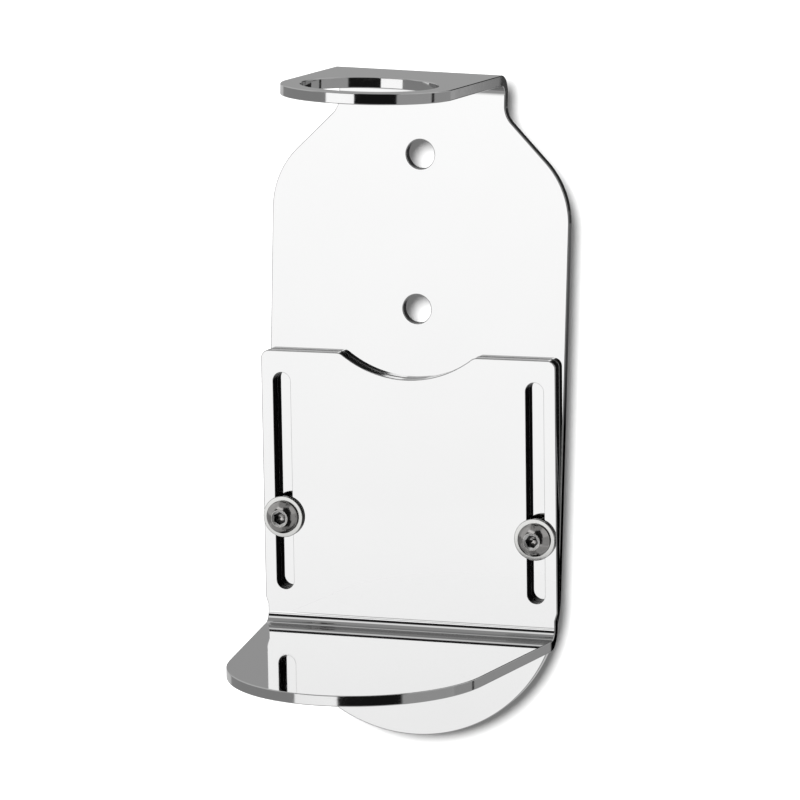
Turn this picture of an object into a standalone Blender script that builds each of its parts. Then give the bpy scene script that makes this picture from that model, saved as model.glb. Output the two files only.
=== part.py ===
"""Wall holder for a hair dryer: a ring above, and a shelf that slides up and down below it.

Metres, +Z up. The wall is the plane Y = 0 and the holder stands out from it towards -Y.
The origin is on the back plate's wall face, midway between the two wall holes.
Both plates are bent from one gauge of sheet. The back plate's neck bends forward into the
ring. The slide plate bends forward into the shelf, and two screws clamp it through its
slots to nuts pressed flush into the back plate. The long slots let the slide plate turn a
little on its screws, and it is clamped with its right side slightly high.
"""
import math

import bmesh
import bpy
from mathutils import Matrix, Vector

MM = 0.001

# Driving dimensions
PLATE_WIDTH = 88.0 * MM
SHEET = 3.0 * MM
PLATE_GAP = 0.4 * MM            # between the back plate and the slide plate
BEND_INNER = 3.2 * MM
BEND_OUTER = BEND_INNER + SHEET

# Back plate, seen from the front
WALL_HOLE_SPACING = 44.0 * MM
WALL_HOLE_DIAMETER = 8.3 * MM
SHOULDER_RADIUS = 24.6 * MM
SHOULDER_Z = 4.4 * MM           # where the straight sides start to curve inwards
NECK_HALF_WIDTH = 24.5 * MM     # also the half width of the ring's root
NECK_FILLET = 7.0 * MM
FOOT_ARC_Z = -102.1 * MM        # centre of the half-round lower end

# Ring, seen from above
RING_TOP_Z = 45.7 * MM
RING_CENTRE_Y = -47.4 * MM
RING_OUTER_RADIUS = 24.0 * MM
RING_HOLE_RADIUS = 18.7 * MM
RING_SIDE_START = 1.0 * MM       # past the bend, where the ring's sides start to draw in

# Slide plate, seen from the front
SLIDE_TOP_Z = -34.9 * MM
SLIDE_CORNER = 2.4 * MM
SCALLOP_DEPTH = 7.0 * MM
SCALLOP_RADIUS = 32.0 * MM
SCALLOP_FILLET = 3.0 * MM
SLOT_WIDTH = 5.3 * MM
SLOT_TOP_Z = -41.2 * MM
SLOT_BOTTOM_Z = -104.6 * MM
RELIEF_Z = -109.3 * MM          # lower end of the slant where the plate steps in by its bend
RELIEF_SLANT = 2.2 * MM
SLIDE_TURN = math.radians(2.1)  # how far it is turned on its screws, right side up

# Shelf, seen from above
SHELF_TOP_Z = -114.4 * MM
SHELF_ROOT_HALF_WIDTH = 43.3 * MM
SHELF_NOSE_Y = -48.8 * MM       # centre of the round front
SHELF_NOSE_RADIUS = 37.1 * MM

# Clamp hardware, size M5
CLAMP_X = 37.8 * MM
CLAMP_Z = -84.5 * MM
SHANK_RADIUS = 2.25 * MM        # the thread's pitch radius
HEAD_RADIUS = 4.75 * MM
HEAD_HEIGHT = 2.75 * MM
HEAD_RIM = 0.5 * MM
SOCKET_FLATS = 3.3 * MM
SOCKET_DEPTH = 1.6 * MM
SOCKET_TURN = {"left": 0.0, "right": math.radians(24.0)}
WASHER_RADIUS = 6.0 * MM
WASHER_THICKNESS = 1.0 * MM
WASHER_HOLE_RADIUS = 2.65 * MM
NUT_FLATS = 8.0 * MM
NUT_BORE_RADIUS = 2.6 * MM

FIT_GAP = 0.3 * MM              # round each nut, and from the wall to the screw's tip
STACK_GAP = 0.2 * MM            # under the washer and under the screw head

# Places worked out from the sizes above; Y runs from the wall outwards, so it is negative
HALF_WIDTH = PLATE_WIDTH / 2
BACK_FRONT_Y = -SHEET
SLIDE_REAR_Y = BACK_FRONT_Y - PLATE_GAP
SLIDE_FRONT_Y = SLIDE_REAR_Y - SHEET
WASHER_REAR_Y = SLIDE_FRONT_Y - STACK_GAP
HEAD_REAR_Y = WASHER_REAR_Y - WASHER_THICKNESS - STACK_GAP
RING_BEND_Z = RING_TOP_Z - BEND_OUTER
RING_BEND_Y = -BEND_OUTER
SHELF_BEND_Z = SHELF_TOP_Z + BEND_INNER
SHELF_BEND_Y = SLIDE_FRONT_Y - BEND_INNER

OVERSHOOT = 20.0 * MM           # how far cutters and blanks run past the sheet
ROOT_RUN = 2.0 * MM             # how far a flap's plan outline runs on into its bend
ROUND_STEPS = 48                # sides of a full circle on small round pieces

# Which way each kind of flat outline is laid: its own X and Y, and the way it is extruded
ALONG_X = Matrix(((0, 0, 1, 0), (1, 0, 0, 0), (0, 1, 0, 0), (0, 0, 0, 1)))
ALONG_Y = Matrix.Rotation(math.radians(90), 4, "X")
ALONG_Z = Matrix.Identity(4)


# ---------------------------------------------------------------- scene and materials

def clear_scene():
    for obj in list(bpy.data.objects):
        bpy.data.objects.remove(obj)


def new_collection(name):
    collection = bpy.data.collections.new(name)
    bpy.context.scene.collection.children.link(collection)
    return collection


def metal(name, colour, roughness):
    material = bpy.data.materials.new(name)
    material.use_nodes = True
    shader = material.node_tree.nodes["Principled BSDF"]
    shader.inputs["Base Color"].default_value = (*colour, 1.0)
    shader.inputs["Metallic"].default_value = 1.0
    shader.inputs["Roughness"].default_value = roughness
    return material


# ---------------------------------------------------------------- outlines

def arc(centre, radius, start, end, steps):
    """Points along an arc, both ends included; the angles are in degrees."""
    points = []
    for i in range(steps + 1):
        angle = math.radians(start + (end - start) * i / steps)
        points.append((centre[0] + radius * math.cos(angle), centre[1] + radius * math.sin(angle)))
    return points


def mirrored(half):
    """A closed outline from its right half, listed from the lowest point up to the highest."""
    left = [(-x, y) for x, y in reversed(half) if x > 1e-9]
    return half + left


def back_plate_outline():
    """Front view: half-round foot, straight sides, round shoulders and the neck."""
    shoulder = (HALF_WIDTH - SHOULDER_RADIUS, SHOULDER_Z)
    slope = (shoulder[0] + shoulder[1]) + SHOULDER_RADIUS * math.sqrt(2)
    fillet_x = NECK_HALF_WIDTH + NECK_FILLET
    fillet = (fillet_x, slope + NECK_FILLET * math.sqrt(2) - fillet_x)
    top = RING_TOP_Z + OVERSHOOT
    half = arc((0.0, FOOT_ARC_Z), HALF_WIDTH, -90, 0, 24)
    half += arc(shoulder, SHOULDER_RADIUS, 0, 45, 10)
    half += arc(fillet, NECK_FILLET, 225, 180, 6)
    half += [(NECK_HALF_WIDTH, top)]
    return mirrored(half)


def slide_plate_outline():
    """Front view: shelf root, steps beside the bend, straight sides and a scalloped top edge."""
    low = SHELF_TOP_Z - OVERSHOOT
    corner = (HALF_WIDTH - SLIDE_CORNER, SLIDE_TOP_Z - SLIDE_CORNER)
    scallop_z = SLIDE_TOP_Z - SCALLOP_DEPTH + SCALLOP_RADIUS
    reach = SCALLOP_RADIUS + SCALLOP_FILLET
    rise = scallop_z - (SLIDE_TOP_Z - SCALLOP_FILLET)
    fillet_x = math.sqrt(reach ** 2 - rise ** 2)
    meet = math.degrees(math.atan2(rise, -fillet_x))
    half = [(SHELF_ROOT_HALF_WIDTH, low), (SHELF_ROOT_HALF_WIDTH, RELIEF_Z)]
    half += [(HALF_WIDTH, RELIEF_Z + RELIEF_SLANT)]
    half += arc(corner, SLIDE_CORNER, 0, 90, 6)
    half += arc((fillet_x, SLIDE_TOP_Z - SCALLOP_FILLET), SCALLOP_FILLET, 90, meet, 5)
    half += arc((0.0, scallop_z), SCALLOP_RADIUS, meet - 180, -90, 14)[1:]
    return mirrored(half)


def flap_outline(root_y, root_half_width, nose_y, nose_radius):
    """Plan view of a flap: sides drawn in to a round nose, with the root open to the bend.

    The sides run on a little way past the root, into the bend, before the outline opens out.
    """
    offset_x, offset_y = root_half_width, root_y - nose_y
    distance = math.hypot(offset_x, offset_y)
    tangent = math.degrees(math.atan2(offset_y, offset_x) - math.acos(nose_radius / distance))
    half = arc((0.0, nose_y), nose_radius, -90, tangent, 24)
    side_x, side_y = half[-1]
    open_y = root_y + ROOT_RUN
    open_x = root_half_width + (root_half_width - side_x) * ROOT_RUN / (root_y - side_y)
    half += [(open_x, open_y), (PLATE_WIDTH, open_y), (PLATE_WIDTH, OVERSHOOT)]
    return mirrored(half)


def slot_outline(centre_x):
    radius = SLOT_WIDTH / 2
    upper = arc((centre_x, SLOT_TOP_Z - radius), radius, 0, 180, 12)
    lower = arc((centre_x, SLOT_BOTTOM_Z + radius), radius, 180, 360, 12)
    return upper + lower


def bent_profile(face_y, bend_y, bend_z, flap_side, flap_end_y, plate_end_z):
    """Side view of a sheet that runs up or down the wall and bends forward into a flap.

    face_y is the sheet's rear face, and (bend_y, bend_z) the centre of its bend. flap_side
    is +1 where the flap is at the top of the sheet and -1 where it is at the bottom.
    """
    outer = arc((bend_y, bend_z), BEND_OUTER, 0, 90 * flap_side, 8)
    inner = arc((bend_y, bend_z), BEND_INNER, 90 * flap_side, 0, 8)
    flap = [(flap_end_y, outer[-1][1]), (flap_end_y, inner[0][1])]
    return [(face_y, plate_end_z)] + outer + flap + inner + [(face_y - SHEET, plate_end_z)]


# ---------------------------------------------------------------- solids

def finish_mesh(mesh):
    """Weld the loose caps, turn every face outwards and shade the round stretches smooth."""
    bm = bmesh.new()
    bm.from_mesh(mesh)
    bmesh.ops.remove_doubles(bm, verts=bm.verts, dist=0.001 * MM)
    bmesh.ops.recalc_face_normals(bm, faces=bm.faces)
    bm.to_mesh(mesh)
    bm.free()
    mesh.shade_smooth()
    mesh.set_sharp_from_angle(angle=math.radians(30))


def prism(name, points, thickness, placement, offset, collection):
    """A flat outline given its thickness, as a mesh; offset is where its middle plane lies."""
    curve = bpy.data.curves.new(name, "CURVE")
    curve.dimensions = "2D"
    curve.fill_mode = "BOTH"
    curve.extrude = thickness / 2
    spline = curve.splines.new("POLY")
    spline.points.add(len(points) - 1)
    for point, (x, y) in zip(spline.points, points):
        point.co = (x, y, 0.0, 1.0)
    spline.use_cyclic_u = True
    outline = bpy.data.objects.new(name + "_outline", curve)
    collection.objects.link(outline)
    outline.matrix_world = Matrix.Translation(offset) @ placement
    bpy.context.view_layer.update()
    evaluated = outline.evaluated_get(bpy.context.evaluated_depsgraph_get())
    mesh = bpy.data.meshes.new_from_object(evaluated)
    mesh.transform(outline.matrix_world)
    bpy.data.objects.remove(outline)
    bpy.data.curves.remove(curve)
    finish_mesh(mesh)
    return link_mesh(name, mesh, collection)


def link_mesh(name, mesh, collection):
    mesh.name = name
    obj = bpy.data.objects.new(name, mesh)
    collection.objects.link(obj)
    return obj


def rod(name, radius, length, sides, turn, centre, collection):
    """A bar of the given number of sides that lies along Y, turned about its own axis."""
    bm = bmesh.new()
    bmesh.ops.create_cone(bm, cap_ends=True, segments=sides, radius1=radius, radius2=radius,
                          depth=length)
    lay_down = Matrix.Rotation(math.radians(90), 4, "X") @ Matrix.Rotation(turn, 4, "Z")
    bmesh.ops.transform(bm, matrix=Matrix.Translation(centre) @ lay_down, verts=bm.verts)
    mesh = bpy.data.meshes.new(name)
    bm.to_mesh(mesh)
    bm.free()
    finish_mesh(mesh)
    return link_mesh(name, mesh, collection)


def turned(name, profile, closed, place, collection):
    """A profile of (radius, height) points turned about its own Z, which points out at -Y."""
    mesh = bpy.data.meshes.new(name)
    count = len(profile)
    edges = [(i, i + 1) for i in range(count - 1)]
    if closed:
        edges.append((count - 1, 0))
    mesh.from_pydata([(radius, 0.0, height) for radius, height in profile], edges, [])
    obj = link_mesh(name, mesh, collection)
    obj.location = place
    obj.rotation_euler = (math.radians(90), 0.0, 0.0)
    spin = obj.modifiers.new("turn", "SCREW")
    spin.axis = "Z"
    spin.steps = ROUND_STEPS
    spin.render_steps = ROUND_STEPS
    spin.use_merge_vertices = True
    spin.merge_threshold = 0.001 * MM
    spin.use_smooth_shade = True
    return obj


def hide_cutter(obj):
    obj.hide_render = True
    obj.display_type = "WIRE"


def combine(obj, cutter, operation):
    """Cut obj by cutter, or keep only what lies inside it, and take the cutter out of sight."""
    hide_cutter(cutter)
    modifier = obj.modifiers.new(cutter.name, "BOOLEAN")
    modifier.operation = operation
    modifier.solver = "EXACT"
    modifier.object = cutter


def move_origin(obj, point):
    """Put an object's origin at a point without moving its shape."""
    obj.data.transform(Matrix.Translation(-point))
    obj.location = point


def turn_together(name, point, angle, objects, collection):
    """Hang objects on an empty and turn them about a line along Y, anticlockwise from the front."""
    holder = bpy.data.objects.new(name, None)
    collection.objects.link(holder)
    holder.location = point
    holder.rotation_euler = (0.0, -angle, 0.0)
    for obj in objects:
        obj.parent = holder
        obj.matrix_parent_inverse = Matrix.Translation(-point)


# ---------------------------------------------------------------- sub-parts

def make_back_plate(parts, cutters):
    blank_z = FOOT_ARC_Z - HALF_WIDTH - OVERSHOOT
    flap_end = RING_CENTRE_Y - RING_OUTER_RADIUS - OVERSHOOT
    profile = bent_profile(0.0, RING_BEND_Y, RING_BEND_Z, +1, flap_end, blank_z)
    plate = prism("back_plate", profile, PLATE_WIDTH + 2 * OVERSHOOT, ALONG_X, Vector(), parts)
    front = prism("cut_back_front", back_plate_outline(), 2 * PLATE_WIDTH + 2 * OVERSHOOT,
                  ALONG_Y, Vector(), cutters)
    plan_points = flap_outline(RING_BEND_Y - RING_SIDE_START, NECK_HALF_WIDTH, RING_CENTRE_Y,
                               RING_OUTER_RADIUS)
    plan = prism("cut_ring_plan", plan_points, 6 * PLATE_WIDTH, ALONG_Z, Vector(), cutters)
    ring_centre = (0.0, RING_CENTRE_Y)
    ring_hole = prism("cut_ring_hole", arc(ring_centre, RING_HOLE_RADIUS, 0, 352.5, 47),
                      4 * BEND_OUTER, ALONG_Z, Vector((0.0, 0.0, RING_TOP_Z)), cutters)
    combine(plate, front, "INTERSECT")
    combine(plate, plan, "INTERSECT")
    combine(plate, ring_hole, "DIFFERENCE")
    for level, sign in (("upper", 1), ("lower", -1)):
        hole_centre = Vector((0.0, 0.0, sign * WALL_HOLE_SPACING / 2))
        hole = rod("cut_wall_hole_" + level, WALL_HOLE_DIAMETER / 2, OVERSHOOT, ROUND_STEPS, 0.0,
                   hole_centre, cutters)
        combine(plate, hole, "DIFFERENCE")
    for side, sign in (("left", -1), ("right", 1)):
        pocket_centre = Vector((sign * CLAMP_X, 0.0, CLAMP_Z))
        pocket = rod("cut_nut_pocket_" + side, hex_radius(NUT_FLATS + 2 * FIT_GAP), OVERSHOOT, 6,
                     0.0, pocket_centre, cutters)
        combine(plate, pocket, "DIFFERENCE")
    plate.data.materials.append(metal("back_plate_steel", (0.80, 0.80, 0.80), 0.04))
    return plate


def make_slide_plate(parts, cutters):
    blank_z = SLIDE_TOP_Z + OVERSHOOT
    flap_end = SHELF_NOSE_Y - SHELF_NOSE_RADIUS - OVERSHOOT
    profile = bent_profile(SLIDE_REAR_Y, SHELF_BEND_Y, SHELF_BEND_Z, -1, flap_end, blank_z)
    plate = prism("slide_plate", profile, PLATE_WIDTH + 2 * OVERSHOOT, ALONG_X, Vector(), parts)
    front = prism("cut_slide_front", slide_plate_outline(), 2 * PLATE_WIDTH + 2 * OVERSHOOT,
                  ALONG_Y, Vector(), cutters)
    plan_points = flap_outline(SHELF_BEND_Y, SHELF_ROOT_HALF_WIDTH, SHELF_NOSE_Y,
                               SHELF_NOSE_RADIUS)
    plan = prism("cut_shelf_plan", plan_points, 6 * PLATE_WIDTH, ALONG_Z, Vector(), cutters)
    combine(plate, front, "INTERSECT")
    combine(plate, plan, "INTERSECT")
    pieces = [plate, front, plan]
    for side, sign in (("left", -1), ("right", 1)):
        slot = prism("cut_slot_" + side, slot_outline(sign * CLAMP_X), OVERSHOOT, ALONG_Y,
                     Vector((0.0, SLIDE_FRONT_Y, 0.0)), cutters)
        combine(plate, slot, "DIFFERENCE")
        pieces.append(slot)
    pivot = Vector((0.0, (SLIDE_REAR_Y + SLIDE_FRONT_Y) / 2, CLAMP_Z))
    move_origin(plate, pivot)
    turn_together("slide_plate_turn", pivot, SLIDE_TURN, pieces, parts)
    plate.data.materials.append(metal("slide_plate_steel", (0.82, 0.82, 0.82), 0.04))
    return plate


def hex_radius(flats):
    """Radius to the corners of a hexagon, from its width across flats."""
    return flats / math.sqrt(3)


def screw_profile():
    """Button-head screw from the top of its dome down to the end of its shank."""
    crown = hex_radius(SOCKET_FLATS) * 1.25
    dome_rise = HEAD_HEIGHT - HEAD_RIM
    steps = 8
    dome = []
    for i in range(steps + 1):
        angle = math.radians(90 * i / steps)
        radius = crown + (HEAD_RADIUS - crown) * math.sin(angle)
        dome.append((radius, HEAD_RIM + dome_rise * math.cos(angle)))
    shank_end = HEAD_REAR_Y + FIT_GAP
    tip = 0.6 * MM
    return ([(0.0, HEAD_HEIGHT)] + dome
            + [(HEAD_RADIUS - 0.2 * MM, 0.0), (SHANK_RADIUS, 0.0), (SHANK_RADIUS, shank_end + tip),
               (SHANK_RADIUS - tip, shank_end), (0.0, shank_end)])


def ring_profile(outer, inner, thickness, chamfer):
    """Washer section with its outer corners broken."""
    return [(outer - chamfer, thickness), (outer, thickness - chamfer), (outer, chamfer),
            (outer - chamfer, 0.0), (inner, 0.0), (inner, thickness)]


def make_clamp_screw(side, x, parts, cutters):
    place = Vector((x, HEAD_REAR_Y, CLAMP_Z))
    screw = turned("clamp_screw_" + side, screw_profile(), False, place, parts)
    socket_centre = place - Vector((0.0, HEAD_HEIGHT, 0.0))
    socket = rod("cut_socket_" + side, hex_radius(SOCKET_FLATS), 2 * SOCKET_DEPTH, 6,
                 SOCKET_TURN[side], socket_centre, cutters)
    combine(screw, socket, "DIFFERENCE")
    screw.data.materials.append(metal("clamp_screw_steel_" + side, (0.55, 0.55, 0.56), 0.18))


def make_washer(side, x, parts):
    profile = ring_profile(WASHER_RADIUS, WASHER_HOLE_RADIUS, WASHER_THICKNESS, 0.2 * MM)
    washer = turned("washer_" + side, profile, True, Vector((x, WASHER_REAR_Y, CLAMP_Z)), parts)
    washer.data.materials.append(metal("washer_steel_" + side, (0.75, 0.75, 0.75), 0.15))


def make_clinch_nut(side, x, parts, cutters):
    centre = Vector((x, -SHEET / 2, CLAMP_Z))
    nut = rod("clinch_nut_" + side, hex_radius(NUT_FLATS), SHEET - 0.2 * MM, 6, 0.0, centre, parts)
    bore = rod("cut_nut_bore_" + side, NUT_BORE_RADIUS, OVERSHOOT, ROUND_STEPS, 0.0, centre,
               cutters)
    combine(nut, bore, "DIFFERENCE")
    move_origin(nut, centre)
    nut.data.materials.append(metal("clinch_nut_steel_" + side, (0.58, 0.57, 0.55), 0.3))


def main():
    clear_scene()
    parts = new_collection("hair_dryer_holder")
    cutters = new_collection("cutters")
    make_back_plate(parts, cutters)
    make_slide_plate(parts, cutters)
    for side, sign in (("left", -1), ("right", 1)):
        x = sign * CLAMP_X
        make_clamp_screw(side, x, parts, cutters)
        make_washer(side, x, parts)
        make_clinch_nut(side, x, parts, cutters)


main()
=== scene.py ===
"""Studio scene of the wall holder: polished sheet steel, clamp screws, floor, light and camera.

Everything lies in the CAD model's frame: +X to the right, +Z up, the wall at Y = 0 and the front
of the holder towards -Y. The holder's sizes are in millimetres and the studio's in metres. Each
piece built here stands for one CAD node of the same shape and place, with rounded edges, true
bends, threads and a worked metal surface added.
"""
import math

import bpy
import numpy as np
from mathutils import Matrix, Vector, geometry


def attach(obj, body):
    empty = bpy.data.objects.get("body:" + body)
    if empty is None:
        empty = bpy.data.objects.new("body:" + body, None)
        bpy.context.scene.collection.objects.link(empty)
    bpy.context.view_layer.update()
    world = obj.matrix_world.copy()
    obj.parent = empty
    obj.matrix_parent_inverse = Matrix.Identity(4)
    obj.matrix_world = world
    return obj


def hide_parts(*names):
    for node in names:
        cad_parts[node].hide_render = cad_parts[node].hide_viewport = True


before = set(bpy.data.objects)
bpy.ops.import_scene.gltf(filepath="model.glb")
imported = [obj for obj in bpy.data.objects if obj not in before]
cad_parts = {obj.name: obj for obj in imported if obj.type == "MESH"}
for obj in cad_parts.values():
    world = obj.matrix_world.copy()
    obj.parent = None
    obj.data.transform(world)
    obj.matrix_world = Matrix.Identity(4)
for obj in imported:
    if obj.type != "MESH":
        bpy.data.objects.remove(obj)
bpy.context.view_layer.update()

MM = 0.001

# Sheet parts
SHEET = 3.0
HALF_WIDTH = 44.0
BEND_INNER = 3.2
BEND_OUTER = BEND_INNER + SHEET
BEND_MIDDLE = BEND_INNER + SHEET / 2
BEND_ROWS = 48
EDGE_ROUND = 0.28               # radius of the tumbled edges
CUT_EDGE_ROUND = 0.12           # crisper edges of the slots and of the nuts' pockets
EDGE_STEPS = 4

# Back plate
WALL_HOLE_Z = 22.0
WALL_HOLE_RADIUS = 4.15
SHOULDER_RADIUS = 24.6
SHOULDER_Z = 4.4
NECK_HALF_WIDTH = 24.5          # also the half width of the ring's root
NECK_FILLET = 7.0
FOOT_ARC_Z = -102.1
RING_TOP_Z = 45.7
RING_CENTRE_Y = -47.4
RING_OUTER_RADIUS = 24.0
RING_HOLE_RADIUS = 18.7
RING_SIDE_START = 1.0           # past the bend, where the ring's sides start to draw in

# Slide plate
SLIDE_REAR_Y = -3.4
SLIDE_TOP_Z = -34.9
SLIDE_CORNER = 2.4
SCALLOP_DEPTH = 7.0
SCALLOP_RADIUS = 32.0
SCALLOP_FILLET = 3.0
SLOT_WIDTH = 5.3
SLOT_TOP_Z = -41.2
SLOT_BOTTOM_Z = -104.6
RELIEF_Z = -109.3               # below it, the plate narrows to the shelf's root
RELIEF_SLANT = 2.2
SHELF_TOP_Z = -114.4
SHELF_ROOT_HALF_WIDTH = 43.3
SHELF_NOSE_Y = -48.8
SHELF_NOSE_RADIUS = 37.1
SLIDE_TURN = math.radians(2.1)  # about the clamp screws' level, right side up

# Clamp screws
CLAMP_X = 37.8
CLAMP_Z = -84.5
THREAD_PITCH = 0.8
THREAD_RADIUS = 2.25
THREAD_DEPTH = 0.2
THREAD_FADE = 0.5               # length over which a thread grows to its full depth
THREAD_FLANKS = 1.4             # above 1, it flattens the crests and the roots
THREAD_ROWS = 8                 # rings of points in each turn of a thread
SHANK_END_Y = -0.3
SHANK_END_INSET = 0.45
SHANK_END_TAPER = 0.3
SHANK_NECK = 0.35               # plain stretch under the head
SHANK_FILLET = 0.2
HEAD_REAR_Y = -7.8
HEAD_RADIUS = 4.75
HEAD_HEIGHT = 2.75
HEAD_RIM = 0.5                  # height at which the dome starts
HEAD_EDGE_ROUND = 0.15
HEAD_LAND_RADIUS = 2.5
SOCKET_MOUTH_RADIUS = 2.3
SOCKET_LIP = 0.05
SOCKET_LIP_DROP = 0.03
SOCKET_CHAMFER_SLOPE = 0.55
SOCKET_FLATS = 3.3
SOCKET_DEPTH = 1.6
DRILL_POINT = ((0.99, 0.25), (0.12, 0.55))   # radius, and depth below the socket's floor
SOCKET_TURNS = {"left": math.radians(30), "right": math.radians(54)}

# Washers and clinch nuts
WASHER_REAR_Y = -6.6
WASHER_THICKNESS = 1.0
WASHER_RADIUS = 6.0
WASHER_HOLE_RADIUS = 2.65
WASHER_EDGE_ROUND = 0.18
NUT_FLATS = 8.0
NUT_TURN = 30.0                 # degrees to its first corner
NUT_THICKNESS = 2.8
NUT_CHAMFER = 0.25
NUT_BORE_RADIUS = 2.6
NUT_COUNTERSINK = 0.35
NUT_THREAD_INSET = 0.05
NUT_THREAD_DEPTH = 0.04
NUT_POCKET_GAP = 0.15
ROUND_STEPS = 96

# Meshing
ON_AXIS = 1e-6                  # a point nearer the middle line than this is not mirrored
MERGE_DISTANCE = 1e-7
SMOOTH_CORNER = math.radians(35)
SMOOTH_ANGLE = math.radians(32)
# The third material darkens the walls of the cut holes, slots and pockets: painted shade where
# shade falls inside them.
SHEET_FACE, SHEET_EDGE, CUT_WALL_SHADE = 0, 1, 2   # material numbers of a sheet part


# ---------------------------------------------------------------- outlines

def arc(centre, radius, start, end, steps):
    """Points along an arc, both ends included; the angles are in degrees."""
    angles = np.radians(np.linspace(start, end, steps + 1))
    return [(centre[0] + radius * math.cos(a), centre[1] + radius * math.sin(a)) for a in angles]


def circle(centre, radius, steps=ROUND_STEPS):
    """A hole's outline: it runs clockwise, so that the metal is always on its left."""
    return arc(centre, radius, 0, -360, steps)[:-1]


def hexagon(centre, flats, turn):
    """Clockwise outline of a hexagon; turn is where its first corner points, in degrees."""
    return arc(centre, flats / math.sqrt(3), turn, turn - 360, steps=6)[:-1]


def straight(start, end, steps):
    """Points along a straight stretch, its end left out."""
    return [(start[0] + (end[0] - start[0]) * i / steps,
             start[1] + (end[1] - start[1]) * i / steps) for i in range(steps)]


def mirrored(half):
    """A closed outline from its right half, listed from the lowest point up to the highest."""
    return half + [(-x, y) for x, y in reversed(half) if x > ON_AXIS]


def flap_half(root_y, root_half_width, nose_y, nose_radius):
    """Right side of a flap from its root to its tip: (x, y) in plan."""
    offset_x, offset_y = root_half_width, root_y - nose_y
    distance = math.hypot(offset_x, offset_y)
    tangent = math.degrees(math.atan2(offset_y, offset_x) - math.acos(nose_radius / distance))
    nose = arc((0.0, nose_y), nose_radius, tangent, -90, steps=90)
    return straight((root_half_width, root_y), nose[0], steps=24) + nose


def inside(point, loops):
    """Whether a point lies in the metal, which is between the outer outline and the holes."""
    hits = 0
    for loop in loops:
        a = np.array(loop)
        b = np.roll(a, -1, axis=0)
        crosses = (a[:, 1] > point[1]) != (b[:, 1] > point[1])
        rise = np.where(crosses, b[:, 1] - a[:, 1], 1.0)
        at = a[:, 0] + (point[1] - a[:, 1]) * (b[:, 0] - a[:, 0]) / rise
        hits += int(np.count_nonzero(crosses & (at > point[0])))
    return hits % 2 == 1


def fill(loops, lines=()):
    """Anticlockwise triangles of the metal, as lists of point numbers.

    Points are numbered through all the loops in turn; lines are pairs that must be joined too.
    """
    points = [Vector(point) for loop in loops for point in loop]
    edges = []
    first = 0
    for loop in loops:
        count = len(loop)
        edges += [(first + i, first + (i + 1) % count) for i in range(count)]
        first += count
    edges += lines
    places, _, faces, origins, *_ = geometry.delaunay_2d_cdt(points, edges, [], 0,
                                                             MERGE_DISTANCE, True)
    triangles = []
    for face in faces:
        a, b, c = (places[i] for i in face)
        if inside((a + b + c) / 3, loops):
            triangle = [origins[i][0] for i in face]
            if (b - a).cross(c - a) < 0:
                triangle.reverse()
            triangles.append(triangle)
    return triangles


# ---------------------------------------------------------------- meshes

def new_object(name, places, faces, materials=(), tones=None):
    """Mesh object in the scene; tones gives each face's material number."""
    mesh = bpy.data.meshes.new(name)
    mesh.from_pydata(places, [], faces)
    for material in materials:
        mesh.materials.append(material)
    if tones:
        mesh.polygons.foreach_set("material_index", tones)
    obj = bpy.data.objects.new(name, mesh)
    bpy.context.scene.collection.objects.link(obj)
    return obj


class Sheet:
    """A sheet metal part in its flat pattern: x across, s up, with one bend at height start.

    side is +1 where the sheet bends forward at its top and -1 where it does at its bottom.
    rear_y is its rear face, and the bend's centre lies BEND_OUTER in front of it.
    """

    def __init__(self, rear_y, start, side):
        self.start = start
        self.side = side
        self.centre_y = rear_y - BEND_OUTER
        self.length = BEND_MIDDLE * math.pi / 2

    def flap_s(self, y):
        """Flat pattern height of a point of the flap that lies at depth y."""
        return self.start + self.side * (self.length + self.centre_y - y)

    def rows(self):
        """Flat pattern heights of the lines across the bend."""
        return [self.start + self.side * self.length * i / BEND_ROWS
                for i in range(BEND_ROWS + 1)]

    def angle(self, s):
        """How far the sheet has turned forward at a flat pattern height."""
        return np.clip(self.side * (s - self.start) / BEND_MIDDLE, 0.0, math.pi / 2)

    def bend(self, x, s, t):
        """Place of flat pattern points, t being the distance from the rear face."""
        past = self.side * (s - self.start)
        angle = self.angle(s)
        radius = BEND_OUTER - t
        y = self.centre_y + radius * np.cos(angle) - np.maximum(past - self.length, 0.0)
        z = self.start + self.side * (radius * np.sin(angle) + np.minimum(past, 0.0))
        return np.stack([x, y, z], axis=-1)

    def turn(self, s, directions):
        """Direction in space of flat pattern directions (across, up, towards the front)."""
        cos, sin = np.cos(self.angle(s)), np.sin(self.angle(s))
        across, up, out = directions.T
        return np.stack([across, -self.side * sin * up - cos * out,
                         cos * up - self.side * sin * out], axis=-1)


# Angle from the face and facing (front +1, rear -1) of each ring of points round an edge
EDGE_TURNS = [math.radians(90 * k / EDGE_STEPS) for k in range(EDGE_STEPS + 1)]
EDGE_LAYERS = [(a, 1) for a in EDGE_TURNS] + [(a, -1) for a in reversed(EDGE_TURNS)]


def edge_normal(outward, layer):
    """Normal of a rounded edge, where outward is the direction out of the outline."""
    angle, facing = EDGE_LAYERS[layer]
    return (outward[0] * math.sin(angle), outward[1] * math.sin(angle), facing * math.cos(angle))


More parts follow.
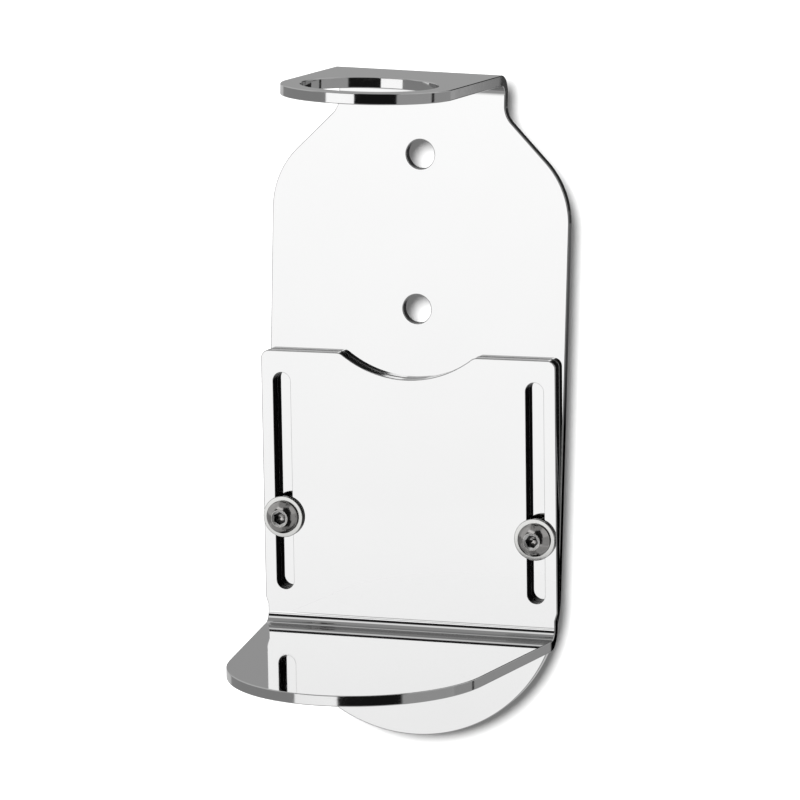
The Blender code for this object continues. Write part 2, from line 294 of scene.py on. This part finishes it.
class Skin:
    """Skin of a sheet in its flat pattern, with the exact normal of every corner."""

    def __init__(self):
        self.points = []        # across, up, and distance from the rear face
        self.faces = []
        self.normals = []       # for each face, one for each corner
        self.tones = []         # material number of each face

    def add_edge(self, loop, edge_round, wall):
        """Wall and rounded edges along an outline, from the front face to the rear face.

        The point numbers of its front rim and of its rear rim are returned.
        """
        points = np.array(loop)
        count = len(points)
        along = np.roll(points, -1, axis=0) - points
        along /= np.linalg.norm(along, axis=1)[:, None]
        after = np.stack([along[:, 1], -along[:, 0]], axis=1)
        before = np.roll(after, 1, axis=0)
        dot = np.sum(after * before, axis=1)
        smooth = (dot > math.cos(SMOOTH_CORNER))[:, None]
        miter = (after + before) / (1 + dot)[:, None]
        middle = (after + before) / np.linalg.norm(after + before, axis=1)[:, None]
        at_start = np.where(smooth, middle, after)
        at_end = np.where(np.roll(smooth, -1, axis=0), np.roll(middle, -1, axis=0), after)

        base = len(self.points)
        for angle, facing in EDGE_LAYERS:
            placed = points - miter * edge_round * (1 - math.sin(angle))
            depth = edge_round * (1 - math.cos(angle))
            t = SHEET - depth if facing > 0 else depth
            self.points += [(x, s, t) for x, s in placed]
        for layer in range(len(EDGE_LAYERS) - 1):
            low = base + layer * count
            high = low + count
            for i in range(count):
                j = (i + 1) % count
                self.faces.append((low + i, high + i, high + j, low + j))
                self.normals.append((edge_normal(at_start[i], layer),
                                     edge_normal(at_start[i], layer + 1),
                                     edge_normal(at_end[i], layer + 1),
                                     edge_normal(at_end[i], layer)))
                self.tones.append(wall if layer == EDGE_STEPS else SHEET_EDGE)
        front = range(base, base + count)
        rear = range(len(self.points) - count, len(self.points))
        return front, rear

    def add_side(self, rims, lines, facing):
        """Flat front (+1) or rear (-1) between the rims of all the outlines."""
        numbers = [number for rim in rims for number in rim]
        loops = [[self.points[number][:2] for number in rim] for rim in rims]
        for triangle in fill(loops, lines):
            if facing < 0:
                triangle.reverse()
            self.faces.append(tuple(numbers[i] for i in triangle))
            self.normals.append(((0, 0, facing),) * 3)
            self.tones.append(SHEET_FACE)


def build_sheet(name, sheet, outlines, lines, materials):
    """Solid sheet with rounded edges, from flat pattern outlines, bent into shape.

    Each outline is (points, edge radius, material number of its wall), and lines are pairs of
    the outer outline's points that are joined across the bend. The corner normals are set
    exactly, so that flats reflect as flats right up to the edge.
    """
    skin = Skin()
    fronts, rears = zip(*[skin.add_edge(*outline) for outline in outlines])
    skin.add_side(fronts, lines, +1)
    skin.add_side(rears, lines, -1)
    x, s, t = np.array(skin.points).T
    places = sheet.bend(x, s, t) * MM
    obj = new_object(name, places.tolist(), skin.faces, materials, skin.tones)
    obj.data.polygons.foreach_set("use_smooth", [True] * len(skin.faces))
    corners = [number for face in skin.faces for number in face]
    flat_normals = np.array([normal for group in skin.normals for normal in group], float)
    obj.data.normals_split_custom_set(sheet.turn(s[corners], flat_normals).tolist())
    obj.data.update()
    return obj


# ---------------------------------------------------------------- materials

class Nodes:
    """Short ways to add and join shader nodes."""

    def __init__(self, tree):
        self.tree = tree

    def add(self, kind, **settings):
        node = self.tree.nodes.new(kind)
        for key, value in settings.items():
            setattr(node, key, value)
        return node

    def link(self, source, target):
        self.tree.links.new(source, target)

    def put(self, target, value):
        """Join a socket to the target, or set it to a plain number."""
        if hasattr(value, "is_output"):
            self.link(value, target)
        else:
            target.default_value = value

    def math(self, operation, a, b=0.0, c=0.0):
        node = self.add("ShaderNodeMath", operation=operation)
        for socket, value in zip(node.inputs, (a, b, c)):
            self.put(socket, value)
        return node.outputs[0]

    def span(self, value, low, high, out_low, out_high, smooth=False):
        """Value taken from the range low to high to the range out_low to out_high."""
        node = self.add("ShaderNodeMapRange",
                        interpolation_type="SMOOTHSTEP" if smooth else "LINEAR")
        names = ("Value", "From Min", "From Max", "To Min", "To Max")
        for key, number in zip(names, (value, low, high, out_low, out_high)):
            self.put(node.inputs[key], number)
        return node.outputs["Result"]

    def between(self, value, low, high, soft):
        """1 between low and high and 0 outside them, with soft edges."""
        rise = self.span(value, low - soft, low + soft, 0.0, 1.0, smooth=True)
        fall = self.span(value, high - soft, high + soft, 1.0, 0.0, smooth=True)
        return self.math("MULTIPLY", rise, fall)

    def blend(self, share, low, high):
        """Colour that runs from low to high."""
        node = self.add("ShaderNodeMix", data_type="RGBA")
        self.link(share, node.inputs[0])
        node.inputs[6].default_value = (*low, 1.0)
        node.inputs[7].default_value = (*high, 1.0)
        return node.outputs[2]

    def place(self, stretch=(1.0, 1.0, 1.0)):
        """Object coordinates in metres, each times its stretch."""
        coordinates = self.add("ShaderNodeTexCoord")
        mapping = self.add("ShaderNodeMapping")
        self.link(coordinates.outputs["Object"], mapping.inputs["Vector"])
        mapping.inputs["Scale"].default_value = stretch
        return mapping.outputs["Vector"]

    def noise(self, vector, scale, detail, roughness=0.5):
        node = self.add("ShaderNodeTexNoise")
        self.link(vector, node.inputs["Vector"])
        node.inputs["Scale"].default_value = scale
        node.inputs["Detail"].default_value = detail
        node.inputs["Roughness"].default_value = roughness
        return node.outputs["Fac"]

    def bump(self, height, strength, distance):
        node = self.add("ShaderNodeBump")
        self.link(height, node.inputs["Height"])
        node.inputs["Strength"].default_value = strength
        node.inputs["Distance"].default_value = distance
        return node.outputs["Normal"]


def new_material(name):
    """A material, a way to add nodes to it, and its shader."""
    material = bpy.data.materials.new(name)
    material.use_nodes = True
    return material, Nodes(material.node_tree), material.node_tree.nodes["Principled BSDF"]


def metal(name, tint, spread, roughness, grain, bump, bump_depth, cloud):
    """Worked metal: cloudy tone, wiped roughness and fine grain.

    spread is how far the tone strays from tint, roughness its lowest and highest value, grain
    and cloud the fineness of the grain and of the clouds, and bump_depth is in millimetres.
    """
    material, n, shader = new_material(name)
    shader.inputs["Metallic"].default_value = 1.0
    clouds = n.noise(n.place(), cloud, 3.0, 0.55)
    grains = n.noise(n.place(grain), 1.0, 3.0, 0.6)
    darker = [part * (1 - spread) for part in tint]
    lighter = [min(1.0, part * (1 + spread)) for part in tint]
    n.link(n.blend(n.span(clouds, 0.3, 0.7, 0.0, 1.0), darker, lighter),
           shader.inputs["Base Color"])
    mixed = n.math("MULTIPLY_ADD", grains, 0.5, n.math("MULTIPLY", clouds, 0.5))
    n.link(n.span(mixed, 0.35, 0.65, *roughness), shader.inputs["Roughness"])
    n.link(n.bump(grains, bump, bump_depth * MM), shader.inputs["Normal"])
    return material


SHEET_METALS = [
    metal("polished_steel", tint=(0.66, 0.66, 0.66), spread=0.006, roughness=(0.02, 0.05),
          grain=(260, 260, 260), bump=0.02, bump_depth=0.02, cloud=30.0),
    metal("polished_sheet_edge", tint=(0.64, 0.64, 0.64), spread=0.02, roughness=(0.04, 0.10),
          grain=(900, 900, 900), bump=0.05, bump_depth=0.02, cloud=120.0),
    # Its near-black tint is painted shade inside the wall holes, slots and nut pockets; its grain,
    # bumps and roughness are the cut's own.
    metal("cut_wall_painted_shade", tint=(0.055, 0.055, 0.055), spread=0.25, roughness=(0.25, 0.45),
          grain=(400, 400, 2600), bump=0.30, bump_depth=0.03, cloud=500.0),
]
SCREW_METALS = [
    metal("machined_screw_steel", tint=(0.50, 0.49, 0.48), spread=0.08, roughness=(0.10, 0.20),
          grain=(2500, 2500, 2500), bump=0.12, bump_depth=0.02, cloud=400.0),
    # Near-black tint: painted shade in the walls and floor of the screws' hexagon sockets.
    metal("socket_painted_shade_steel", tint=(0.06, 0.06, 0.06), spread=0.20, roughness=(0.20, 0.35),
          grain=(2500, 2500, 2500), bump=0.20, bump_depth=0.03, cloud=500.0),
    # Near-white tint: painted highlight on the chamfer round the socket's mouth, which is the same
    # steel as the head.
    metal("chamfer_painted_highlight_steel", tint=(0.97, 0.97, 0.96), spread=0.03, roughness=(0.40, 0.55),
          grain=(3000, 3000, 3000), bump=0.10, bump_depth=0.02, cloud=500.0),
]
WASHER_METALS = [
    metal("polished_washer_steel", tint=(0.55, 0.55, 0.54), spread=0.06, roughness=(0.12, 0.24),
          grain=(2500, 2500, 2500), bump=0.10, bump_depth=0.02, cloud=300.0),
]
NUT_METALS = [
    metal("plated_nut_steel", tint=(0.58, 0.58, 0.57), spread=0.05, roughness=(0.22, 0.38),
          grain=(2200, 2200, 2200), bump=0.20, bump_depth=0.03, cloud=300.0),
]
# The socket strip's material is painted shade in the hollow; the chamfer strip's is a painted
# highlight.
SOCKET_SHADE_STRIP, CHAMFER_HIGHLIGHT_STRIP = 1, 2           # material numbers of a screw's socket


# ---------------------------------------------------------------- the two plates

def plate_half():
    """Right side of the back plate, from its foot up to its neck."""
    shoulder = (HALF_WIDTH - SHOULDER_RADIUS, SHOULDER_Z)
    slope = shoulder[0] + shoulder[1] + SHOULDER_RADIUS * math.sqrt(2)
    fillet_x = NECK_HALF_WIDTH + NECK_FILLET
    fillet = (fillet_x, slope + NECK_FILLET * math.sqrt(2) - fillet_x)
    half = arc((0.0, FOOT_ARC_Z), HALF_WIDTH, -90, 0, steps=90)
    half += arc(shoulder, SHOULDER_RADIUS, 0, 45, steps=36)
    half += arc(fillet, NECK_FILLET, 225, 180, steps=20)
    return half


def wall_holes():
    return [circle((0.0, z), WALL_HOLE_RADIUS) for z in (WALL_HOLE_Z, -WALL_HOLE_Z)]


def bend_lines(outer, first):
    """Pairs of points to join across the bend, whose right side starts at point first."""
    return [(first + i, len(outer) - first - i) for i in range(BEND_ROWS + 1)]


def back_plate():
    """Wall plate with its two holes and nut pockets, and the ring bent forward at its top."""
    sheet = Sheet(0.0, RING_TOP_Z - BEND_OUTER, +1)
    half = plate_half()
    first = len(half)
    half += [(NECK_HALF_WIDTH, s) for s in sheet.rows()]
    flap = flap_half(sheet.centre_y - RING_SIDE_START, NECK_HALF_WIDTH, RING_CENTRE_Y,
                     RING_OUTER_RADIUS)
    half += [(x, sheet.flap_s(y)) for x, y in flap]
    outer = mirrored(half)
    ring_hole = circle((0.0, sheet.flap_s(RING_CENTRE_Y)), RING_HOLE_RADIUS, steps=240)
    outlines = [(outer, EDGE_ROUND, SHEET_EDGE), (ring_hole, EDGE_ROUND, SHEET_EDGE)]
    # The walls of the wall holes and of the nut pockets take the painted shade of the cut wall
    # material.
    outlines += [(hole, EDGE_ROUND, CUT_WALL_SHADE) for hole in wall_holes()]
    for x in (-CLAMP_X, CLAMP_X):
        pocket = hexagon((x, CLAMP_Z), NUT_FLATS + 2 * NUT_POCKET_GAP, NUT_TURN)
        outlines.append((pocket, CUT_EDGE_ROUND, CUT_WALL_SHADE))
    plate = build_sheet("back_plate_polished", sheet, outlines, bend_lines(outer, first),
                        SHEET_METALS)
    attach(plate, "wall_plate")
    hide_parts("back_plate")


def slide_plate():
    """Front plate with its scallop and two slots, and the shelf bent forward at its bottom."""
    sheet = Sheet(SLIDE_REAR_Y, SHELF_TOP_Z + BEND_INNER, -1)
    corner = (HALF_WIDTH - SLIDE_CORNER, SLIDE_TOP_Z - SLIDE_CORNER)
    scallop_z = SLIDE_TOP_Z - SCALLOP_DEPTH + SCALLOP_RADIUS
    fillet_z = SLIDE_TOP_Z - SCALLOP_FILLET
    fillet_x = math.sqrt((SCALLOP_RADIUS + SCALLOP_FILLET) ** 2 - (scallop_z - fillet_z) ** 2)
    meet = math.degrees(math.atan2(scallop_z - fillet_z, -fillet_x))
    flap = flap_half(sheet.centre_y, SHELF_ROOT_HALF_WIDTH, SHELF_NOSE_Y, SHELF_NOSE_RADIUS)
    half = [(x, sheet.flap_s(y)) for x, y in reversed(flap[1:])]
    first = len(half)
    half += [(SHELF_ROOT_HALF_WIDTH, s) for s in reversed(sheet.rows())]
    half += [(SHELF_ROOT_HALF_WIDTH, RELIEF_Z), (HALF_WIDTH, RELIEF_Z + RELIEF_SLANT)]
    half += arc(corner, SLIDE_CORNER, 0, 90, steps=16)
    half += arc((fillet_x, fillet_z), SCALLOP_FILLET, 90, meet, steps=12)
    half += arc((0.0, scallop_z), SCALLOP_RADIUS, meet - 180, -90, steps=40)[1:]
    outer = mirrored(half)
    outlines = [(outer, EDGE_ROUND, SHEET_EDGE)]
    radius = SLOT_WIDTH / 2
    for x in (-CLAMP_X, CLAMP_X):
        slot = arc((x, SLOT_TOP_Z - radius), radius, 180, 0, steps=32)
        slot += arc((x, SLOT_BOTTOM_Z + radius), radius, 0, -180, steps=32)
        # The slots' walls take the painted shade of the cut wall material too.
        outlines.append((slot, CUT_EDGE_ROUND, CUT_WALL_SHADE))
    plate = build_sheet("slide_plate_polished", sheet, outlines, bend_lines(outer, first),
                        SHEET_METALS)
    pivot = Vector((0.0, 0.0, CLAMP_Z * MM))
    plate.data.transform(Matrix.Translation(pivot) @ Matrix.Rotation(-SLIDE_TURN, 4, "Y")
                         @ Matrix.Translation(-pivot))
    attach(plate, "shelf")
    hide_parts("slide_plate")


# ---------------------------------------------------------------- round hardware

def grid_piece(name, rings, closed, materials, bands, body, node, centre):
    """Skin over rings of equal length; each ring is a list of (across, up, out) in millimetres.

    out is measured from the wall towards the front. closed joins the last ring to the first.
    bands gives the material number of the strips that start at a ring, where it is not 0.
    """
    count = len(rings[0])
    total = len(rings)
    places = [((centre[0] + across) * MM, -out * MM, (centre[1] + up) * MM)
              for ring in rings for across, up, out in ring]
    faces = []
    tones = []
    for r in range(total if closed else total - 1):
        low, high = r * count, ((r + 1) % total) * count
        for i in range(count):
            j = (i + 1) % count
            faces.append((low + i, low + j, high + j, high + i))
            tones.append(bands.get(r, 0))
    if not closed:
        faces.append(tuple(reversed(range(count))))
        faces.append(tuple((total - 1) * count + i for i in range(count)))
        tones += [0, 0]
    obj = new_object(name, places, faces, materials, tones)
    obj.data.shade_smooth()
    obj.data.set_sharp_from_angle(angle=SMOOTH_ANGLE)
    obj.data.update()
    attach(obj, body)
    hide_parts(node)


def turn_angles():
    """The angles of a ring's points, anticlockwise as seen from the front."""
    return np.linspace(0, 2 * math.pi, ROUND_STEPS, endpoint=False)


def lathe(profile):
    """Rings of a turned shape from its profile of (radius, out)."""
    return [[(radius * math.cos(a), radius * math.sin(a), out) for a in turn_angles()]
            for radius, out in profile]


def hex_ring(flats, turn, height):
    """A hexagon with as many points as a circle; height gives a point's out from its radius."""
    ring = []
    for a in turn_angles():
        radius = flats / 2 / math.cos((a - turn) % (math.pi / 3) - math.pi / 6)
        ring.append((radius * math.cos(a), radius * math.sin(a), height(radius)))
    return ring


def thread_rings(radius, depth, low, high):
    """Rings of a helical thread, running from low to high."""
    rows = int((high - low) / THREAD_PITCH * THREAD_ROWS)
    rings = []
    for k in range(rows + 1):
        out = low + (high - low) * k / rows
        fade = max(0.0, min(1.0, (out - low) / THREAD_FADE, (high - out) / THREAD_FADE))
        ring = []
        for a in turn_angles():
            phase = (out / THREAD_PITCH + a / (2 * math.pi)) % 1.0
            wave = np.clip((1 - 4 * abs(phase - 0.5)) * THREAD_FLANKS, -1, 1)
            r = radius + depth * wave * fade
            ring.append((r * math.cos(a), r * math.sin(a), out))
        rings.append(ring)
    return rings


def screw(side, sign):
    """Button head cap screw with a domed head, a hexagon socket and a cut thread."""
    end = -SHANK_END_Y
    rear = -HEAD_REAR_Y
    top = rear + HEAD_HEIGHT
    rings = lathe([(THREAD_RADIUS - SHANK_END_INSET, end)])
    rings += thread_rings(THREAD_RADIUS, THREAD_DEPTH, end + SHANK_END_TAPER, rear - SHANK_NECK)
    rings += lathe([(THREAD_RADIUS, rear - SHANK_FILLET),
                    (THREAD_RADIUS + SHANK_FILLET / 2, rear)])
    rings += lathe(arc((HEAD_RADIUS - HEAD_EDGE_ROUND, rear + HEAD_EDGE_ROUND), HEAD_EDGE_ROUND,
                       -90, 0, steps=5))
    dome = HEAD_LAND_RADIUS ** 2 + HEAD_HEIGHT ** 2 - HEAD_RADIUS ** 2 - HEAD_RIM ** 2
    dome /= 2 * (HEAD_HEIGHT - HEAD_RIM)
    low = math.degrees(math.atan2(HEAD_RIM - dome, HEAD_RADIUS))
    high = math.degrees(math.atan2(HEAD_HEIGHT - dome, HEAD_LAND_RADIUS))
    rings += lathe(arc((0.0, rear + dome), math.hypot(HEAD_RADIUS, HEAD_RIM - dome), low, high,
                       steps=24))
    lip = top - SOCKET_LIP_DROP
    floor = top - SOCKET_DEPTH
    rings += lathe([(SOCKET_MOUTH_RADIUS + SOCKET_LIP, top), (SOCKET_MOUTH_RADIUS, lip)])
    chamfer = len(rings) - 1
    turn = SOCKET_TURNS[side]
    rings.append(hex_ring(SOCKET_FLATS, turn,
                          lambda r: lip - (SOCKET_MOUTH_RADIUS - r) * SOCKET_CHAMFER_SLOPE))
    rings.append(hex_ring(SOCKET_FLATS, turn, lambda r: floor))
    rings += lathe([(radius, floor - depth) for radius, depth in DRILL_POINT])
    # The chamfer ring gets the painted highlight, and the socket's walls and floor get the painted
    # shade.
    bands = {chamfer: CHAMFER_HIGHLIGHT_STRIP, chamfer + 1: SOCKET_SHADE_STRIP, chamfer + 2: SOCKET_SHADE_STRIP}
    grid_piece("clamp_screw_%s_detailed" % side, rings, False, SCREW_METALS, bands,
               side + "_screw", "clamp_screw_" + side, (sign * CLAMP_X, CLAMP_Z))


def washer(side, sign):
    """Flat washer with rounded rims."""
    soft = WASHER_EDGE_ROUND
    outer, inner = WASHER_RADIUS - soft, WASHER_HOLE_RADIUS + soft
    low = -WASHER_REAR_Y + soft
    high = -WASHER_REAR_Y + WASHER_THICKNESS - soft
    profile = []
    for centre, start in (((outer, low), -90), ((outer, high), 0),
                          ((inner, high), 90), ((inner, low), 180)):
        profile += arc(centre, soft, start, start + 90, steps=6)
    grid_piece("washer_%s_detailed" % side, lathe(profile), True, WASHER_METALS, {},
               side + "_washer", "washer_" + side, (sign * CLAMP_X, CLAMP_Z))


def clinch_nut(side, sign):
    """Hexagon nut pressed flush into the sheet, with a threaded and countersunk bore."""
    rear = (SHEET - NUT_THICKNESS) / 2
    front = rear + NUT_THICKNESS
    turn = math.radians(NUT_TURN)
    bore = NUT_BORE_RADIUS + NUT_THREAD_INSET
    mouth = NUT_BORE_RADIUS + NUT_COUNTERSINK
    small = NUT_FLATS - 2 * NUT_CHAMFER
    rings = [hex_ring(small, turn, lambda r: rear),
             hex_ring(NUT_FLATS, turn, lambda r: rear + NUT_CHAMFER),
             hex_ring(NUT_FLATS, turn, lambda r: front - NUT_CHAMFER),
             hex_ring(small, turn, lambda r: front)]
    rings += lathe([(mouth, front), (bore, front - NUT_CHAMFER)])
    rings += reversed(thread_rings(bore, NUT_THREAD_DEPTH, rear + NUT_CHAMFER,
                                   front - NUT_CHAMFER - NUT_THREAD_INSET))
    rings += lathe([(mouth, rear)])
    grid_piece("clinch_nut_%s_detailed" % side, rings, True, NUT_METALS, {},
               "wall_plate", "clinch_nut_" + side, (sign * CLAMP_X, CLAMP_Z))


back_plate()
slide_plate()
for side, sign in (("left", -1), ("right", 1)):
    screw(side, sign)
    washer(side, sign)
    clinch_nut(side, sign)


# ---------------------------------------------------------------- floor and backdrop

FLOOR_Z = -1.3
FLOOR_RADII = (0.6, 1.2, 1.9, 2.6)
WALL_Y = 0.003                  # the backdrop's distance behind the back plate
WALL_HALF = 1.0
WALL_ALBEDO = 0.2
WALL_GLOW = 0.13                # keeps the middle of the shadow from going black
WALL_LIGHT_ENERGY = 23.0        # makes the backdrop white outside the shadow
WALL_LIGHT_ANGLE = math.radians(42)
WALL_LIGHT_FROM = (-0.28, -1.0, 0.53)
CARD_Y = -0.0029                # just under the back plate's front face


def studio_floor():
    """Pale round floor far below the wall holder."""
    steps = 96
    places = [(0.0, 0.0, FLOOR_Z)]
    for radius in FLOOR_RADII:
        places += [(x, y, FLOOR_Z) for x, y in arc((0.0, 0.0), radius, 0, 360, steps)[:-1]]
    faces = []
    for i in range(steps):
        j = (i + 1) % steps
        faces.append((0, 1 + i, 1 + j))
        for r in range(len(FLOOR_RADII) - 1):
            low = 1 + r * steps
            high = low + steps
            faces.append((low + i, high + i, high + j, low + j))
    material, n, shader = new_material("pale_floor")
    fleck = n.noise(n.place(), 14.0, 4.0)
    n.link(n.blend(fleck, (0.86, 0.86, 0.85), (0.92, 0.92, 0.91)), shader.inputs["Base Color"])
    n.link(n.span(fleck, 0.3, 0.7, 0.5, 0.65), shader.inputs["Roughness"])
    floor = new_object("studio_floor", places, faces, [material])
    floor.visible_glossy = False


def hide_from_metal(obj):
    """Keep a studio object out of the metal's reflections and light."""
    obj.visible_glossy = False
    obj.visible_diffuse = False
    obj.visible_transmission = False


def paper():
    """Grey paper, lit up to white, that is clear when seen from behind."""
    material, n, shader = new_material("paper_wall")
    fibre = n.noise(n.place(), 900.0, 3.0)
    n.link(n.blend(fibre, (WALL_ALBEDO * 0.97,) * 3, (WALL_ALBEDO * 1.03,) * 3),
           shader.inputs["Base Color"])
    n.link(n.span(fibre, 0.3, 0.7, 0.85, 0.95), shader.inputs["Roughness"])
    shader.inputs["Specular IOR Level"].default_value = 0.0
    shader.inputs["Emission Color"].default_value = (1.0, 1.0, 1.0, 1.0)
    shader.inputs["Emission Strength"].default_value = WALL_GLOW
    surface = n.add("ShaderNodeNewGeometry")
    clear = n.add("ShaderNodeBsdfTransparent")
    choose = n.add("ShaderNodeMixShader")
    n.link(surface.outputs["Backfacing"], choose.inputs[0])
    n.link(shader.outputs[0], choose.inputs[1])
    n.link(clear.outputs[0], choose.inputs[2])
    n.link(choose.outputs[0], material.node_tree.nodes["Material Output"].inputs["Surface"])
    return material


def shadow_card():
    """Card of the back plate's flat outline, hidden inside it, to cast the shadow."""
    loops = [mirrored(plate_half() + [(NECK_HALF_WIDTH, RING_TOP_Z)])] + wall_holes()
    places = [(x * MM, CARD_Y, z * MM) for loop in loops for x, z in loop]
    card = new_object("shadow_card", places, fill(loops))
    hide_from_metal(card)
    card.visible_camera = False
    return card


def studio_wall():
    """White backdrop close behind the holder, with a soft drop shadow of the back plate only.

    It is there for the camera alone, so that it neither lights the metal nor shows in it.
    """
    places = [(x, WALL_Y, z) for x, z in ((-WALL_HALF, -WALL_HALF), (WALL_HALF, -WALL_HALF),
                                          (WALL_HALF, WALL_HALF), (-WALL_HALF, WALL_HALF))]
    wall = new_object("studio_wall", places, [(0, 1, 2, 3)], [paper()])
    hide_from_metal(wall)
    wall.visible_shadow = False
    return wall


def wall_light(wall, card):
    """Soft light that falls on the wall alone and is shaded by the card alone."""
    receivers = bpy.data.collections.new("lit_wall")
    receivers.objects.link(wall)
    casters = bpy.data.collections.new("shadow_casters")
    casters.objects.link(card)
    data = bpy.data.lights.new("wall_light", "SUN")
    data.angle = WALL_LIGHT_ANGLE
    data.energy = WALL_LIGHT_ENERGY
    light = bpy.data.objects.new("wall_light", data)
    bpy.context.scene.collection.objects.link(light)
    light.visible_glossy = False
    light.rotation_euler = Vector(WALL_LIGHT_FROM).to_track_quat("Z", "Y").to_euler()
    light.light_linking.receiver_collection = receivers
    light.light_linking.blocker_collection = casters


# ---------------------------------------------------------------- the studio's panels

# The room is laid out by direction, in degrees: azimuth runs from the front (-Y) towards the
# right (+X), and elevation is above the horizon. Each panel covers what comes before it.
ROOM_BRIGHTNESS = 0.60
PANELS = (
    # azimuth from, to, elevation from, to, soft azimuth and elevation edge, brightness below, above
    (-181, 181, -95, -34, 0.5, 4.0, 0.40, 0.40),       # floor
    (-181, 181, 60, 95, 0.5, 6.0, 0.34, 0.34),         # ceiling
    (-128, -36, -30, -2, 3.0, 3.0, 0.29, 0.29),        # grey card on the left
    # above the camera
    (-60, 60, 16, 92, 4.0, 1.5, 0.34, 0.34),
    (-60, 60, 39, 55, 4.0, 2.0, 1.00, 1.00),
    (-60, 60, 16, 39, 4.0, 1.2, 0.02, 0.02),
    # bright card on the left of the camera, which lights up the front faces
    (-38, 0, -30, 2, 1.2, 0.1, 1.47, 1.47),
    (-38, 0, -30, -5.5, 1.2, 0.2, 0.96, 1.47),
    (-38, 0, -30, -12, 1.2, 0.2, 0.72, 1.35),
    (-38, 0, 2, 10.6, 1.2, 0.5, 0.78, 0.78),
    (-38, 0, 10.6, 16, 1.2, 0.2, 1.76, 1.60),
    # black cloth round the camera, and grey cards to its right
    (0, 60, -21, 62, 0.8, 1.5, 0.01, 0.01),
    (55, 105, -30, 16, 1.5, 1.5, 0.40, 0.40),
    (105, 152, -24, 2, 1.5, 2.0, 0.36, 0.36),
    # strips and narrow gaps at the right and the back, which show in the sheets' edges
    (151, 172, -30, 38, 1.5, 3.0, 0.03, 0.03),
    (107.5, 112.5, -10, 2, 0.6, 2.0, 0.03, 0.03),
    (129.5, 132.5, -24, -10, 0.5, 1.5, 0.05, 0.05),
    (155, 174, -17, -10.5, 2.0, 0.2, 0.00, 0.00),
    (153, 174, -10.5, -7, 2.0, 0.2, 0.02, 0.17),
    (150, 161.5, -7, -2, 1.0, 0.5, 0.44, 0.44),
    (161.5, 174, -6.5, -3, 1.0, 0.5, 0.05, 0.05),
    (163, 181, 12, 25, 3.0, 2.0, 0.03, 0.03),
    (-181, -176, 12, 25, 1.0, 2.0, 0.03, 0.03),
    (-175, -140, -3, 20, 3.0, 1.5, 0.37, 0.37),
)


def studio_world():
    """The room's panels, which light the metal and show in it; the camera itself sees white."""
    world = bpy.data.worlds.new("studio")
    world.use_nodes = True
    world.node_tree.nodes.clear()
    bpy.context.scene.world = world
    n = Nodes(world.node_tree)
    direction = n.add("ShaderNodeSeparateXYZ")
    n.link(n.add("ShaderNodeTexCoord").outputs["Generated"], direction.inputs[0])
    x, y, z = direction.outputs
    in_degrees = math.degrees(1)
    azimuth = n.math("MULTIPLY", n.math("ARCTAN2", x, n.math("MULTIPLY", y, -1.0)), in_degrees)
    elevation = n.math("MULTIPLY", n.math("ARCSINE", z), in_degrees)
    light = ROOM_BRIGHTNESS
    for low_az, high_az, low_el, high_el, soft_az, soft_el, below, above in PANELS:
        share = n.math("MULTIPLY", n.between(azimuth, low_az, high_az, soft_az),
                       n.between(elevation, low_el, high_el, soft_el))
        kept = n.math("MULTIPLY", light, n.math("SUBTRACT", 1.0, share))
        value = below
        if above != below:
            value = n.span(elevation, low_el, high_el, below, above)
        light = n.math("MULTIPLY_ADD", share, value, kept)
    room = n.add("ShaderNodeBackground")
    n.link(light, room.inputs["Color"])
    white = n.add("ShaderNodeBackground")
    white.inputs["Color"].default_value = (1.0, 1.0, 1.0, 1.0)
    choose = n.add("ShaderNodeMixShader")
    n.link(n.add("ShaderNodeLightPath").outputs["Is Camera Ray"], choose.inputs[0])
    n.link(room.outputs[0], choose.inputs[1])
    n.link(white.outputs[0], choose.inputs[2])
    n.link(choose.outputs[0], n.add("ShaderNodeOutputWorld").inputs["Surface"])


# ---------------------------------------------------------------- camera

CAMERA_PLACE = (0.35275, -1.05693, 0.15645)
CAMERA_AZIMUTH = math.radians(18.434)
CAMERA_ELEVATION = math.radians(10.566)
CAMERA_ROLL = math.radians(1.214)
CAMERA_LENS = 179.13
CAMERA_SENSOR = 36.0
CAMERA_SHIFT = (-0.0247, 0.0118)


def camera():
    """Long lens, a little to the right of the holder and above it."""
    away = Vector((-math.sin(CAMERA_AZIMUTH) * math.cos(CAMERA_ELEVATION),
                   math.cos(CAMERA_AZIMUTH) * math.cos(CAMERA_ELEVATION),
                   -math.sin(CAMERA_ELEVATION)))
    right = Vector((math.cos(CAMERA_AZIMUTH), math.sin(CAMERA_AZIMUTH), 0.0))
    up = right.cross(away)
    across = right * math.cos(CAMERA_ROLL) + up * math.sin(CAMERA_ROLL)
    upward = up * math.cos(CAMERA_ROLL) - right * math.sin(CAMERA_ROLL)
    data = bpy.data.cameras.new("camera")
    data.sensor_width = CAMERA_SENSOR
    data.lens = CAMERA_LENS
    data.shift_x, data.shift_y = CAMERA_SHIFT
    data.clip_start = 0.05
    data.clip_end = 20.0
    obj = bpy.data.objects.new("camera", data)
    bpy.context.scene.collection.objects.link(obj)
    turn = Matrix((across, upward, -away)).transposed()
    obj.matrix_world = Matrix.Translation(CAMERA_PLACE) @ turn.to_4x4()
    bpy.context.scene.camera = obj


studio_floor()
wall_light(studio_wall(), shadow_card())
studio_world()
camera()
bpy.context.scene.view_settings.view_transform = "Standard"
